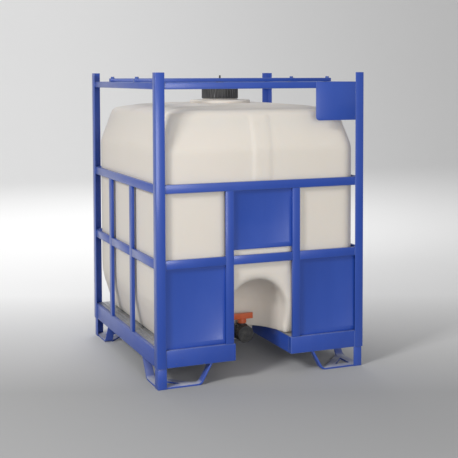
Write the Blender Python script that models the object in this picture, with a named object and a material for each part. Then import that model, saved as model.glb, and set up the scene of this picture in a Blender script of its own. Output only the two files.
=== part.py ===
"""Framed intermediate bulk container: angle-post steel frame, moulded tank, screw lid and outlet valve.

Metres, +Z up, outlet towards -Y, origin on the ground under the middle of the frame.
"""
import math

import bmesh
import bpy
from mathutils import Matrix, Vector

# Frame, overall
WIDTH = 1.100
DEPTH = 1.150
HEIGHT = 1.495
GAP = 0.0003

# Corner posts, equal angle
POST = 0.045
POST_T = 0.004
SEAT = POST_T + GAP
LEG = 0.045
LEG_T = 0.004

# Rails and bars
RAIL_T = 0.016
TOP_HI = HEIGHT - 0.047
TOP_LO = TOP_HI - 0.032
TOP_T = 0.030
RAIL_H = 0.042
MID_LO = 0.648 * HEIGHT - RAIL_H
MID_HI = MID_LO + RAIL_H
LOW_LO = 0.4087 * HEIGHT - RAIL_H
LOW_HI = LOW_LO + RAIL_H
BAR_W = 0.040
BAR_X = 0.177
BAR_Y1 = -0.140
BAR_Y2 = 0.235
CROSS_Y = 0.220
CROSS_W = 0.030
CROSS_H = 0.018

# Base and feet
BASE_LO, BASE_HI = 0.100, 0.184
BASE_T = 0.030
RECESS = 0.148
TRAY_T = 0.003
TRAY_CUT_Y = 0.115
STRAP_T = 0.008
STRAP_W = 0.0405
TIE_LAP = 0.001
STRAP_TOP_X = 0.282
STRAP_TOP_Y = 0.265
BEND_X = 0.226
BEND_Y = 0.195

# Sheets
SHEET_T = 0.0015
SHEET_LAP = 0.011
UPPER_SHEET_LO = LOW_HI + 0.026
PLATE_T = 0.003
PLATE_X0 = WIDTH / 2 - 0.267
PLATE_LO = TOP_HI - 0.192
PLATE_R = 0.020

# Tank
TANK_X = WIDTH / 2 - SEAT - RAIL_T - 0.0037
TANK_Y = DEPTH / 2 - SEAT - RAIL_T - GAP - SHEET_T - 0.0039
WALL = 0.008
CORNER = 0.075
FLOOR_Z = BASE_HI + GAP + TRAY_T + GAP
NICHE_X = -0.015
NICHE_A = 0.165
NICHE_D = 0.287
NICHE_TOP = 0.478
NICHE_BEND = 0.300
NICHE_BACK = -TANK_Y + NICHE_D
GROOVE_D = 0.012
GROOVE_W = 0.030
DISC_R = 0.164
DISC_Z = TOP_LO - 0.064
NECK_R = 0.0905
BORE_R = 0.0785
NECK_TOP = DISC_Z + 0.060
SUMP_A = 0.120
SUMP_LO = 0.112
SUMP_BACK = 0.100

# Lid
LID_R = 0.0970
LID_LO = DISC_Z + 0.008
LID_TOP = NECK_TOP + 0.012
RIBS = 36
SEAL_T = 0.0034
VENT_R = 0.018
VENT_TOP = LID_TOP + 0.058

# Valve, on a horizontal axis through the outlet
OUT_Z = 0.172
OUT_R = 0.025
SPOUT_Y = NICHE_BACK - 0.038
STEM_Y = SPOUT_Y - 0.030
BODY_R = 0.0355
THREAD_R = 0.0325
CAP_R = 0.0435
CAP_IN = STEM_Y - 0.023
CAP_OUT = CAP_IN - 0.032
BODY_END = CAP_IN - 0.024
STEM_R = 0.006
BOSS_R = 0.020
BOSS_TOP = OUT_Z + 0.064
GRIP_LO = BOSS_TOP + 0.0045
GRIP_HI = GRIP_LO + 0.0275
GRIP_A = 0.060
GRIP_W = 0.022

for old in list(bpy.data.objects):
    bpy.data.objects.remove(old, do_unlink=True)


def material(name, colour, roughness, metallic=0.0):
    mat = bpy.data.materials.new(name)
    mat.use_nodes = True
    shader = mat.node_tree.nodes["Principled BSDF"]
    shader.inputs["Base Color"].default_value = (*colour, 1.0)
    shader.inputs["Roughness"].default_value = roughness
    shader.inputs["Metallic"].default_value = metallic
    return mat


BLUE = material("frame_blue", (0.045, 0.095, 0.36), 0.42)
SHEET = material("sheet_blue", (0.040, 0.090, 0.34), 0.45)
ZINC = material("galvanised_tray", (0.50, 0.51, 0.52), 0.40, 1.0)
PE = material("tank_polyethylene", (0.72, 0.66, 0.58), 0.38)
BLACK = material("lid_black", (0.022, 0.022, 0.024), 0.45)
VALVE = material("valve_black", (0.028, 0.028, 0.030), 0.42)
RED = material("handle_orange_red", (0.55, 0.09, 0.035), 0.40)
RUBBER = material("seal_rubber", (0.05, 0.05, 0.05), 0.75)
DISC = material("disc_grey", (0.30, 0.30, 0.31), 0.45)


def finish(mesh, name, mat, origin=(0.0, 0.0, 0.0), smooth=False):
    """Weld, turn the faces outward, move the origin and hand over one named object."""
    bm = bmesh.new()
    bm.from_mesh(mesh)
    bmesh.ops.remove_doubles(bm, verts=bm.verts[:], dist=1e-6)
    bmesh.ops.recalc_face_normals(bm, faces=bm.faces[:])
    bm.to_mesh(mesh)
    bm.free()
    mesh.transform(Matrix.Translation(-Vector(origin)))
    mesh.name = name
    mesh.materials.clear()
    mesh.materials.append(mat)
    for poly in mesh.polygons:
        poly.use_smooth = smooth
    obj = bpy.data.objects.new(name, mesh)
    obj.location = origin
    bpy.context.collection.objects.link(obj)
    return obj


def prism(points, axis, low, high):
    """A flat outline extruded along X, Y or Z. The outline is given in the other two, in X, Y, Z order."""
    place = {
        "X": lambda a, b, c: (c, a, b),
        "Y": lambda a, b, c: (a, c, b),
        "Z": lambda a, b, c: (a, b, c),
    }[axis]
    count = len(points)
    verts = [place(a, b, low) for a, b in points]
    verts += [place(a, b, high) for a, b in points]
    faces = [tuple(range(count)), tuple(range(2 * count - 1, count - 1, -1))]
    faces += [(i, (i + 1) % count, count + (i + 1) % count, count + i) for i in range(count)]
    mesh = bpy.data.meshes.new("prism")
    mesh.from_pydata(verts, [], faces)
    return mesh


def box(x0, x1, y0, y1, z0, z1):
    return prism([(x0, y0), (x1, y0), (x1, y1), (x0, y1)], "Z", z0, z1)


def turned(profile, segments, centre, axis="Z", flute=0.0, teeth=0):
    """A closed profile of (radius, height) turned about an axis through centre, with optional grip flutes."""
    verts = []
    faces = []
    count = len(profile)
    outer = max(r for r, _ in profile)
    for s in range(segments):
        angle = 2.0 * math.pi * s / segments
        notch = flute if teeth and (s * teeth * 3 // segments) % 3 == 2 else 0.0
        for r, h in profile:
            radius = r - notch if r > outer - 0.0008 else r
            a = radius * math.cos(angle)
            b = radius * math.sin(angle)
            local = (a, b, h) if axis == "Z" else (a, h, b)
            verts.append(tuple(c + d for c, d in zip(centre, local)))
    for s in range(segments):
        nxt = (s + 1) % segments
        for i in range(count):
            j = (i + 1) % count
            faces.append((s * count + i, s * count + j, nxt * count + j, nxt * count + i))
    mesh = bpy.data.meshes.new("turned")
    mesh.from_pydata(verts, [], faces)
    return mesh


def rod(radius, low, high, segments, centre, axis="Z"):
    """A plain solid cylinder."""
    points = [
        (radius * math.cos(2.0 * math.pi * s / segments), radius * math.sin(2.0 * math.pi * s / segments))
        for s in range(segments)
    ]
    if axis == "Z":
        moved = [(centre[0] + a, centre[1] + b) for a, b in points]
        return prism(moved, "Z", low, high)
    moved = [(centre[0] + a, centre[2] + b) for a, b in points]
    return prism(moved, "Y", low, high)


def combine(mesh, tool, how):
    """Union or difference of two meshes. Both inputs are used up."""
    pair = []
    for item in (mesh, tool):
        bm = bmesh.new()
        bm.from_mesh(item)
        bmesh.ops.recalc_face_normals(bm, faces=bm.faces[:])
        bm.to_mesh(item)
        bm.free()
        obj = bpy.data.objects.new("work", item)
        bpy.context.collection.objects.link(obj)
        pair.append(obj)
    mod = pair[0].modifiers.new("cut", "BOOLEAN")
    mod.object = pair[1]
    mod.operation = how
    mod.solver = "EXACT"
    graph = bpy.context.evaluated_depsgraph_get()
    result = bpy.data.meshes.new_from_object(pair[0].evaluated_get(graph))
    for obj in pair:
        bpy.data.objects.remove(obj, do_unlink=True)
    return result


def corners():
    """The four corners as a name and the signs of X and Y."""
    return (("fl", -1, -1), ("fr", 1, -1), ("bl", -1, 1), ("br", 1, 1))


def angle_section(ox, oy, sx, sy, width, thick):
    """Outline of an equal angle with its corner at ox, oy and open towards the middle of the frame."""
    return [
        (ox, oy),
        (ox - sx * width, oy),
        (ox - sx * width, oy - sy * thick),
        (ox - sx * thick, oy - sy * thick),
        (ox - sx * thick, oy - sy * width),
        (ox, oy - sy * width),
    ]


# Corner posts: equal angles, standing proud of the top rails so that the next container sits on them
# Legs: a smaller step in, under the posts and the base rails
for tag, sx, sy in corners():
    ox, oy = sx * WIDTH / 2, sy * DEPTH / 2
    outline = angle_section(ox, oy, sx, sy, POST, POST_T)
    finish(prism(outline, "Z", BASE_LO, HEIGHT), "post_" + tag, BLUE)
    outline = angle_section(ox - sx * SEAT, oy - sy * SEAT, sx, sy, LEG, LEG_T)
    finish(prism(outline, "Z", 0.0, BASE_LO - GAP), "leg_" + tag, BLUE)

# Feet: a bent strap from the rail, along the ground, round the corner and up again, with a tie plate
# welded across its corner, so that strap and tie are one body
for tag, sx, sy in corners():
    inset = SEAT + LEG_T + GAP
    ex, ey = sx * (WIDTH / 2 - inset), sy * (DEPTH / 2 - inset)
    lift = BASE_LO - GAP
    bend_x = sx * (WIDTH / 2 - BEND_X)
    top_x = sx * (WIDTH / 2 - STRAP_TOP_X)
    skew_x = sx * STRAP_T * math.hypot(top_x - bend_x, lift) / lift
    slope_x = (top_x - bend_x) * STRAP_T / lift
    front = prism(
        [
            (ex, 0.0),
            (bend_x, 0.0),
            (top_x, lift),
            (top_x + skew_x, lift),
            (bend_x + slope_x + skew_x, STRAP_T),
            (ex, STRAP_T),
        ],
        "Y",
        *sorted((ey, ey - sy * STRAP_W)),
    )
    bend_y = sy * (DEPTH / 2 - BEND_Y)
    top_y = sy * (DEPTH / 2 - STRAP_TOP_Y)
    skew_y = sy * STRAP_T * math.hypot(top_y - bend_y, lift) / lift
    slope_y = (top_y - bend_y) * STRAP_T / lift
    side = prism(
        [
            (ey, 0.0),
            (bend_y, 0.0),
            (top_y, lift),
            (top_y + skew_y, lift),
            (bend_y + slope_y + skew_y, STRAP_T),
            (ey, STRAP_T),
        ],
        "X",
        *sorted((ex, ex - sx * STRAP_W)),
    )
    ix = ex - sx * (STRAP_W - TIE_LAP)
    iy = ey - sy * (STRAP_W - TIE_LAP)
    tie = [
        (ix, iy - sy * 0.100),
        (ix, iy - sy * 0.155),
        (ix - sx * 0.140, iy),
        (ix - sx * 0.086, iy),
    ]
    foot = combine(combine(front, side, "UNION"), prism(tie, "Z", 0.0, STRAP_T), "UNION")
    finish(foot, "foot_strap_" + tag, BLUE)

# Top and middle rails: front and back ones run the full width inside the posts, side ones between them
full_x = WIDTH / 2 - SEAT
full_y = DEPTH / 2 - SEAT
for level, low, high, thick in (("top", TOP_LO, TOP_HI, TOP_T), ("mid", MID_LO, MID_HI, RAIL_T)):
    for tag, sy in (("front", -1), ("back", 1)):
        y0, y1 = sorted((sy * full_y, sy * (full_y - thick)))
        finish(box(-full_x, full_x, y0, y1, low, high), level + "_rail_" + tag, BLUE)
    for tag, sx in (("left", -1), ("right", 1)):
        x0, x1 = sorted((sx * full_x, sx * (full_x - thick)))
        reach = full_y - thick - GAP
        finish(box(x0, x1, -reach, reach, low, high), level + "_rail_" + tag, BLUE)

# Lower rails and upright bars, halved into each other where they cross
half = RAIL_T / 2 - GAP / 2
notch = BAR_W / 2 + GAP
for tag, sign, along_x in (("front", -1, True), ("back", 1, True), ("left", -1, False), ("right", 1, False)):
    face = sign * (full_y if along_x else full_x)
    inner = face - sign * RAIL_T
    mid = face - sign * (half + GAP)
    places = (-BAR_X, BAR_X) if along_x else (BAR_Y1, BAR_Y2)
    reach = full_x if along_x else full_y - RAIL_T - GAP
    outline = [(-reach, inner), (-reach, face)]
    for centre in places:
        outline += [(centre - notch, face), (centre - notch, mid), (centre + notch, mid), (centre + notch, face)]
    outline += [(reach, face), (reach, inner)]
    if not along_x:
        outline = [(b, a) for a, b in outline]
    finish(prism(outline, "Z", LOW_LO, LOW_HI), "low_rail_" + tag, BLUE)
    for n, centre in enumerate(places, 1):
        back = face - sign * half
        outline = [
            (face, BASE_HI + GAP),
            (face, MID_LO - GAP),
            (inner, MID_LO - GAP),
            (inner, LOW_HI + GAP),
            (back, LOW_HI + GAP),
            (back, LOW_LO - GAP),
            (inner, LOW_LO - GAP),
            (inner, BASE_HI + GAP),
        ]
        axis = "X" if along_x else "Y"
        bar = prism(outline, axis, centre - BAR_W / 2, centre + BAR_W / 2)
        finish(bar, "bar_" + tag + "_" + str(n), BLUE)

# Base rails: the front one is broken by the valve recess, which two runners carry through to the back
front_y = (-full_y, -full_y + BASE_T)
finish(box(-full_x, -RECESS, *front_y, BASE_LO, BASE_HI), "base_rail_front_1", BLUE)
finish(box(RECESS, full_x, *front_y, BASE_LO, BASE_HI), "base_rail_front_2", BLUE)
finish(box(-full_x, full_x, full_y - BASE_T, full_y, BASE_LO, BASE_HI), "base_rail_back", BLUE)
reach = full_y - BASE_T - GAP
finish(box(-full_x, -full_x + BASE_T, -reach, reach, BASE_LO, BASE_HI), "base_rail_left", BLUE)
finish(box(full_x - BASE_T, full_x, -reach, reach, BASE_LO, BASE_HI), "base_rail_right", BLUE)
finish(box(-RECESS - BASE_T, -RECESS, -reach, reach, BASE_LO, BASE_HI), "base_runner_1", BLUE)
finish(box(RECESS, RECESS + BASE_T, -reach, reach, BASE_LO, BASE_HI), "base_runner_2", BLUE)

# Floor tray: plate on the base rails, open under the valve and the sump
tray_x = full_x - RAIL_T - GAP
tray_y = full_y - RAIL_T - SHEET_T - 3 * GAP
outline = [
    (-tray_x, -tray_y),
    (-RECESS, -tray_y),
    (-RECESS, TRAY_CUT_Y),
    (RECESS, TRAY_CUT_Y),
    (RECESS, -tray_y),
    (tray_x, -tray_y),
    (tray_x, tray_y),
    (-tray_x, tray_y),
]
finish(prism(outline, "Z", BASE_HI + GAP, BASE_HI + GAP + TRAY_T), "floor_tray", ZINC)

# Infill sheets: behind the bars and rails they are welded to
sheet_y = (-full_y + RAIL_T + GAP, -full_y + RAIL_T + GAP + SHEET_T)
edge = BAR_X - BAR_W / 2 + SHEET_LAP
outer = BAR_X + BAR_W / 2 - SHEET_LAP
upper = box(-edge, edge, *sheet_y, UPPER_SHEET_LO, MID_LO + SHEET_LAP)
finish(upper, "infill_sheet_upper", SHEET)
for n, sx in ((1, -1), (2, 1)):
    x0, x1 = sorted((sx * outer, sx * (tray_x - GAP)))
    low = FLOOR_Z + 0.002
    finish(box(x0, x1, *sheet_y, low, LOW_LO + SHEET_LAP), "infill_sheet_lower_" + str(n), SHEET)

# Marking plate: flush with the post flange, hung from the top rail
x1 = WIDTH / 2 - POST - GAP
outline = [(PLATE_X0, TOP_HI), (x1, TOP_HI), (x1, PLATE_LO)]
for step in range(7):
    angle = -math.pi / 2 - math.pi / 2 * step / 6
    outline.append((PLATE_X0 + PLATE_R + PLATE_R * math.cos(angle), PLATE_LO + PLATE_R + PLATE_R * math.sin(angle)))
finish(prism(outline, "Y", -full_y - GAP - PLATE_T, -full_y - GAP), "marking_plate", SHEET)

# Tie bars across the top, on the side rails
for n, sy in ((1, -1), (2, 1)):
    low = TOP_HI + GAP
    bar = box(-full_x, full_x, sy * CROSS_Y - CROSS_W / 2, sy * CROSS_Y + CROSS_W / 2, low, low + CROSS_H)
    finish(bar, "tie_bar_" + str(n), BLUE)


def spread(low, high, count):
    return [low + (high - low) * i / (count - 1) for i in range(count)]


def wall_stations():
    """Stations round the tank as (side, fraction or angle): close together at the grooves."""
    span_x = TANK_X - CORNER
    span_y = TANK_Y - CORNER
    groove = [-GROOVE_W, -GROOVE_W / 2, 0.0, GROOVE_W / 2, GROOVE_W]
    front = [-0.40, -0.31] + [g - BAR_X for g in groove] + [-0.08, 0.0, 0.08]
    front += [g + BAR_X for g in groove] + [0.31, 0.40]
    side = [-0.43, -0.34, -0.24] + [g + BAR_Y1 for g in groove] + [-0.03, 0.05, 0.13]
    side += [g + BAR_Y2 for g in groove] + [0.34, 0.43]
    stations = [("front", -1.0)] + [("front", x / span_x) for x in front] + [("front", 1.0)]
    stations += [("fr", a) for a in spread(-math.pi / 2, 0.0, 7)[1:-1]]
    stations += [("right", -1.0)] + [("right", y / span_y) for y in side] + [("right", 1.0)]
    stations += [("br", a) for a in spread(0.0, math.pi / 2, 7)[1:-1]]
    stations += [("back", f) for f in spread(1.0, -1.0, 12)]
    stations += [("bl", a) for a in spread(math.pi / 2, math.pi, 7)[1:-1]]
    stations += [("left", 1.0)] + [("left", y / span_y) for y in reversed(side)] + [("left", -1.0)]
    stations += [("fl", a) for a in spread(math.pi, 1.5 * math.pi, 7)[1:-1]]
    return stations


def bump(value, width):
    return math.cos(math.pi / 2 * value / width) ** 2 if abs(value) < width else 0.0


def niche_tool(wall):
    """The solid that cuts the valve niche: a bay closed by a rounded roof, open below and to the front."""
    top = NICHE_TOP + wall
    levels = [FLOOR_Z - 0.02, 0.240, 0.280, NICHE_BEND, 0.330, 0.360, 0.390, 0.415, 0.437, 0.455]
    levels += [0.468 + wall / 2, top - 0.002]
    rings = []
    for z in levels:
        half_width = NICHE_A + wall
        if z > NICHE_BEND:
            half_width *= math.sqrt(1.0 - ((z - NICHE_BEND) / (top - NICHE_BEND)) ** 2)
        roof = math.sqrt(1.0 - (max(0.0, z - FLOOR_Z) / (top - FLOOR_Z)) ** 4)
        points = []
        for step in range(25):
            u = -math.cos(math.pi * step / 24)
            y = -TANK_Y + (NICHE_D + wall) * roof * (1.0 - abs(u) ** 1.8) ** 0.7
            points.append((NICHE_X + half_width * u, y, z))
        points.append((NICHE_X + half_width, -TANK_Y - 0.04, z))
        points.append((NICHE_X - half_width, -TANK_Y - 0.04, z))
        rings.append(points)
    return skin(rings)


def ring(z, inset, wall):
    """One level of the tank: a rounded rectangle with grooves behind the upright bars."""
    hx = TANK_X - inset - wall
    hy = TANK_Y - inset - wall
    r = max(0.02, CORNER - wall)
    inward = min(1.0, max(0.0, (z - 0.22) / 0.06), max(0.0, (DISC_Z - 0.132 - z) / 0.06))
    points = []
    for side, value in wall_stations():
        if side in ("front", "back"):
            sy = -1 if side == "front" else 1
            x = value * (hx - r)
            y = sy * hy
            if side == "front":
                y += inward * GROOVE_D * (bump(x - BAR_X, GROOVE_W) + bump(x + BAR_X, GROOVE_W))
        elif side in ("left", "right"):
            sx = -1 if side == "left" else 1
            y = value * (hy - r)
            dent = inward * GROOVE_D * (bump(y - BAR_Y1, GROOVE_W) + bump(y - BAR_Y2, GROOVE_W))
            x = sx * (hx - dent)
        else:
            cx = (hx - r) * (1 if side[1] == "r" else -1)
            cy = (hy - r) * (1 if side[0] == "b" else -1)
            x = cx + r * math.cos(value)
            y = cy + r * math.sin(value)
        points.append((x, y, z))
    return points


def blended(points, radius, z, share):
    """Move a ring part of the way towards a circle."""
    out = []
    for x, y, _ in points:
        length = math.hypot(x, y)
        out.append((x + (x / length * radius - x) * share, y + (y / length * radius - y) * share, z))
    return out


def skin(rings):
    """Close a stack of equal rings into one solid."""
    count = len(rings[0])
    verts = [p for level in rings for p in level]
    faces = [tuple(range(count))]
    for k in range(len(rings) - 1):
        for i in range(count):
            j = (i + 1) % count
            faces.append((k * count + i, k * count + j, (k + 1) * count + j, (k + 1) * count + i))
    last = (len(rings) - 1) * count
    faces.append(tuple(range(last + count - 1, last - 1, -1)))
    mesh = bpy.data.meshes.new("skin")
    mesh.from_pydata(verts, [], faces)
    return mesh


# Tank: hollow moulding, drawn in at the foot and shoulders, open in the middle of its disc and at the outlet
def tank_levels(wall):
    floor = FLOOR_Z + wall
    sides = [(floor, 0.062), (0.215, 0.048), (0.26, 0.034), (0.30, 0.024), (0.34, 0.012), (0.39, 0.002)]
    sides += [(0.44, 0.0), (DISC_Z - 0.50, 0.0), (DISC_Z - 0.242, 0.0)]
    sides += [(DISC_Z - 0.192, 0.007), (DISC_Z - 0.142, 0.020), (DISC_Z - 0.102, 0.033)]
    top = DISC_Z - wall
    sides += [(top - 0.067 + wall / 2, 0.046), (top - 0.049, 0.056), (top - 0.040, 0.070)]
    rings = [ring(z, inset, wall) for z, inset in sides]
    shoulder = [(x, y, z) for x, y, z in rings[-1]]
    rings.append(blended(shoulder, DISC_R + 0.02, top - 0.028, 0.35))
    rings.append(blended(shoulder, DISC_R + 0.02, top - 0.018, 0.70))
    rings.append(blended(shoulder, DISC_R + 0.008 - wall, top - 0.012, 1.0))
    rings.append(blended(shoulder, DISC_R - wall, top - 0.008, 1.0))
    rings.append(blended(shoulder, DISC_R - 0.008 - wall, top, 1.0))
    if wall > 0.0:
        rings.append(blended(shoulder, BORE_R, top + 0.001, 1.0))
        rings.append(blended(shoulder, BORE_R, DISC_Z + 0.02, 1.0))
    return rings


axis_at = (NICHE_X, 0.0, OUT_Z)
tank = combine(skin(tank_levels(0.0)), niche_tool(0.0), "DIFFERENCE")
sump = box(NICHE_X - SUMP_A, NICHE_X + SUMP_A, NICHE_BACK, SUMP_BACK, SUMP_LO, FLOOR_Z + 0.004)
tank = combine(tank, sump, "UNION")
tank = combine(tank, rod(BODY_R - 0.002, SPOUT_Y, NICHE_BACK + 0.006, 40, axis_at, "Y"), "UNION")
hollow = combine(skin(tank_levels(WALL)), niche_tool(WALL), "DIFFERENCE")
tank = combine(tank, hollow, "DIFFERENCE")
sump = box(
    NICHE_X - SUMP_A + WALL,
    NICHE_X + SUMP_A - WALL,
    NICHE_BACK + WALL,
    SUMP_BACK - WALL,
    SUMP_LO + WALL,
    FLOOR_Z + WALL + 0.010,
)
tank = combine(tank, sump, "DIFFERENCE")
tank = combine(tank, rod(OUT_R, SPOUT_Y - 0.01, NICHE_BACK + 0.020, 40, axis_at, "Y"), "DIFFERENCE")
finish(tank, "tank", PE, smooth=False)

# Neck: the threaded ring welded on the disc, round the filling hole
neck = [
    (BORE_R, DISC_Z + GAP),
    (NECK_R + 0.004, DISC_Z + GAP),
    (NECK_R + 0.004, DISC_Z + 0.005),
    (NECK_R, DISC_Z + 0.006),
    (NECK_R, NECK_TOP),
    (BORE_R, NECK_TOP),
]
finish(turned(neck, 72, (0, 0, 0)), "tank_neck", PE)

# Screw lid, its seal and the vent on top: all on the axis of the neck
seal_lo = NECK_TOP + GAP
seal_hi = seal_lo + SEAL_T
under = seal_hi + GAP
seal = [(BORE_R + 0.001, seal_lo), (NECK_R - 0.0005, seal_lo), (NECK_R - 0.0005, seal_hi), (BORE_R + 0.001, seal_hi)]
finish(turned(seal, 72, (0, 0, 0)), "lid_seal", RUBBER)
inner = NECK_R + 0.0006
lid = [
    (inner, LID_LO),
    (LID_R, LID_LO),
    (LID_R, LID_TOP - 0.004),
    (LID_R - 0.004, LID_TOP),
    (0.030, LID_TOP),
    (0.028, LID_TOP + 0.014),
    (VENT_R - 0.004, LID_TOP + 0.014),
    (VENT_R - 0.004, LID_TOP + 0.004),
    (0.006, LID_TOP + 0.004),
    (0.006, under),
    (inner, under),
]
finish(turned(lid, 108, (0, 0, 0), flute=0.0025, teeth=RIBS), "lid", BLACK)
vent_lo = LID_TOP + 0.014 + GAP
vent = [
    (0.0001, LID_TOP + 0.004 + GAP),
    (VENT_R - 0.004 - GAP, LID_TOP + 0.004 + GAP),
    (VENT_R - 0.004 - GAP, vent_lo),
    (VENT_R + 0.004, vent_lo),
    (VENT_R + 0.004, vent_lo + 0.016),
    (VENT_R - 0.002, vent_lo + 0.020),
    (0.007, vent_lo + 0.022),
    (0.005, VENT_TOP - 0.002),
    (0.003, VENT_TOP),
    (0.0001, VENT_TOP),
]
finish(turned(vent, 48, (0, 0, 0)), "vent_cap", BLACK)

# Outlet valve: butterfly body on the spout, clamped by a ring nut
body = [
    (OUT_R, SPOUT_Y - GAP),
    (BODY_R, SPOUT_Y - GAP),
    (BODY_R, CAP_IN + 0.002),
    (THREAD_R, CAP_IN + 0.001),
    (THREAD_R, BODY_END),
    (OUT_R, BODY_END),
]
valve_body = turned(body, 64, axis_at, "Y")
boss = rod(BOSS_R, OUT_Z + OUT_R + 0.005, BOSS_TOP, 40, (NICHE_X, STEM_Y, 0.0))
valve_body = combine(valve_body, boss, "UNION")
bore = rod(STEM_R + GAP, OUT_Z + 0.010, BOSS_TOP + 0.01, 32, (NICHE_X, STEM_Y, 0.0))
valve_body = combine(valve_body, bore, "DIFFERENCE")
finish(valve_body, "valve_body", VALVE)
nut = [
    (BODY_R + GAP, SPOUT_Y + 0.010),
    (BODY_R + 0.010, SPOUT_Y + 0.010),
    (BODY_R + 0.010, SPOUT_Y - 0.0085),
    (BODY_R + GAP, SPOUT_Y - 0.0085),
]
finish(turned(nut, 72, axis_at, "Y", flute=0.003, teeth=12), "valve_nut", VALVE)
stem_at = (NICHE_X, STEM_Y, OUT_Z)
flap = rod(OUT_R - GAP, STEM_Y - 0.0025, STEM_Y + 0.0025, 48, axis_at, "Y")
stem = rod(STEM_R, OUT_Z - 0.012, GRIP_HI - 0.006, 32, stem_at)
finish(combine(flap, stem, "UNION"), "valve_flap", DISC, origin=stem_at)
grip = []
for end in (1, -1):
    for step in range(13):
        angle = end * (-math.pi / 2) + math.pi * step / 12
        along = end * (GRIP_A - GRIP_W / 2) + GRIP_W / 2 * math.cos(angle)
        grip.append((NICHE_X + along, STEM_Y + GRIP_W / 2 * math.sin(angle)))
handle = prism(grip, "Z", GRIP_LO, GRIP_HI)
handle = combine(handle, rod(0.018, BOSS_TOP + GAP, GRIP_LO + 0.006, 40, stem_at), "UNION")
handle = combine(handle, rod(STEM_R + GAP, BOSS_TOP - 0.01, GRIP_HI - 0.006 + GAP, 32, stem_at), "DIFFERENCE")
finish(handle, "valve_handle", RED, origin=stem_at)

# Outlet cap and its seal
cap = [
    (THREAD_R + 0.0005, CAP_IN),
    (CAP_R, CAP_IN),
    (CAP_R, CAP_OUT + 0.003),
    (CAP_R - 0.003, CAP_OUT),
    (CAP_R - 0.014, CAP_OUT),
    (CAP_R - 0.016, CAP_OUT + 0.002),
    (0.0001, CAP_OUT + 0.002),
    (0.0001, BODY_END - 0.0036),
    (THREAD_R + 0.0005, BODY_END - 0.0036),
]
finish(turned(cap, 96, axis_at, "Y", flute=0.002, teeth=32), "outlet_cap", VALVE, origin=axis_at)
seal = [
    (OUT_R + 0.0005, BODY_END - GAP),
    (THREAD_R - 0.0005, BODY_END - GAP),
    (THREAD_R - 0.0005, BODY_END - 0.0033),
    (OUT_R + 0.0005, BODY_END - 0.0033),
]
finish(turned(seal, 64, axis_at, "Y"), "outlet_seal", RUBBER, origin=axis_at)
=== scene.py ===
import math

import bmesh
import bpy
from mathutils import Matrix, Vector


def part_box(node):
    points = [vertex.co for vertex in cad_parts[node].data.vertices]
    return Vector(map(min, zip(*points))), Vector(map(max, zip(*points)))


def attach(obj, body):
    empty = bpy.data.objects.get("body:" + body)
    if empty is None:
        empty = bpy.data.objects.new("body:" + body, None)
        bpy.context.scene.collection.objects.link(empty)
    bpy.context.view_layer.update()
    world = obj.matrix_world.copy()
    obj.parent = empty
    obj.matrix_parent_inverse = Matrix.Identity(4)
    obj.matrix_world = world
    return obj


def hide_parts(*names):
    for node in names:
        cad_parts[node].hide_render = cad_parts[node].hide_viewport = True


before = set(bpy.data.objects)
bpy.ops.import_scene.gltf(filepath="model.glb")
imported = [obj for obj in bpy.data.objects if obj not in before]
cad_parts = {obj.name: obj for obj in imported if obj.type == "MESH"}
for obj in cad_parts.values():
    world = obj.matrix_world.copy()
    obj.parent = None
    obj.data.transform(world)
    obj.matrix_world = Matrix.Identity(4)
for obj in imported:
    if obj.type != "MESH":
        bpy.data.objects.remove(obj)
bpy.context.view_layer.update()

# ---------------------------------------------------------------- corner posts and legs
# Four rolled equal angles stand at the corners, open to the middle, and rise past the top rails so that
# another container sits on them. Shorter angles are welded inside their feet. Blue stoved enamel on steel,
# with eased arrises where the enamel has pulled thin, small chips low down, and near the ground a pale
# grey that is dust on all faces and a painted highlight on the upward faces.


def alone(piece):
    """Make this the only selected object, and the active one."""
    bpy.ops.object.select_all(action="DESELECT")
    piece.select_set(True)
    bpy.context.view_layer.objects.active = piece


def pick(kind, test):
    """In edit mode, select only the points, edges or faces that pass the test."""
    bpy.ops.mesh.select_mode(type=kind)
    bpy.ops.mesh.select_all(action="DESELECT")
    shape = bmesh.from_edit_mesh(bpy.context.object.data)
    for item in {"VERT": shape.verts, "EDGE": shape.edges, "FACE": shape.faces}[kind]:
        if test(item):
            item.select_set(True)
    bmesh.update_edit_mesh(bpy.context.object.data)


def add_modifier(piece, kind, **settings):
    """Give the piece one modifier and apply it."""
    alone(piece)
    modifier = piece.modifiers.new("work", kind)
    for name, value in settings.items():
        setattr(modifier, name, value)
    bpy.ops.object.modifier_apply(modifier=modifier.name)


def ease(piece, width, rounds=2, angle=30.0, edge_slot=0):
    """Round the sharp arrises, and let the light run smoothly over them."""
    add_modifier(
        piece, "BEVEL", width=width, segments=rounds, limit_method="ANGLE",
        angle_limit=math.radians(angle), material=edge_slot,
    )
    alone(piece)
    bpy.ops.object.shade_smooth_by_angle(angle=math.radians(40.0))


def whole_copy(node):
    """A copy of a node's shape with its loose triangles merged into whole flat faces."""
    piece = bpy.data.objects.new("made_" + node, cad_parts[node].data.copy())
    bpy.context.collection.objects.link(piece)
    alone(piece)
    bpy.ops.object.mode_set(mode="EDIT")
    bpy.ops.mesh.select_all(action="SELECT")
    bpy.ops.mesh.remove_doubles(threshold=0.00001)
    bpy.ops.mesh.dissolve_limited(angle_limit=math.radians(0.5))
    bpy.ops.object.mode_set(mode="OBJECT")
    return piece


def dress(piece, *materials):
    """Put these materials on the piece, the first one on all that has no other."""
    old = [face.material_index for face in piece.data.polygons]
    piece.data.materials.clear()
    for material in materials:
        piece.data.materials.append(material)
    for face, slot in zip(piece.data.polygons, old):
        face.material_index = min(slot, len(materials) - 1)


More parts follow.
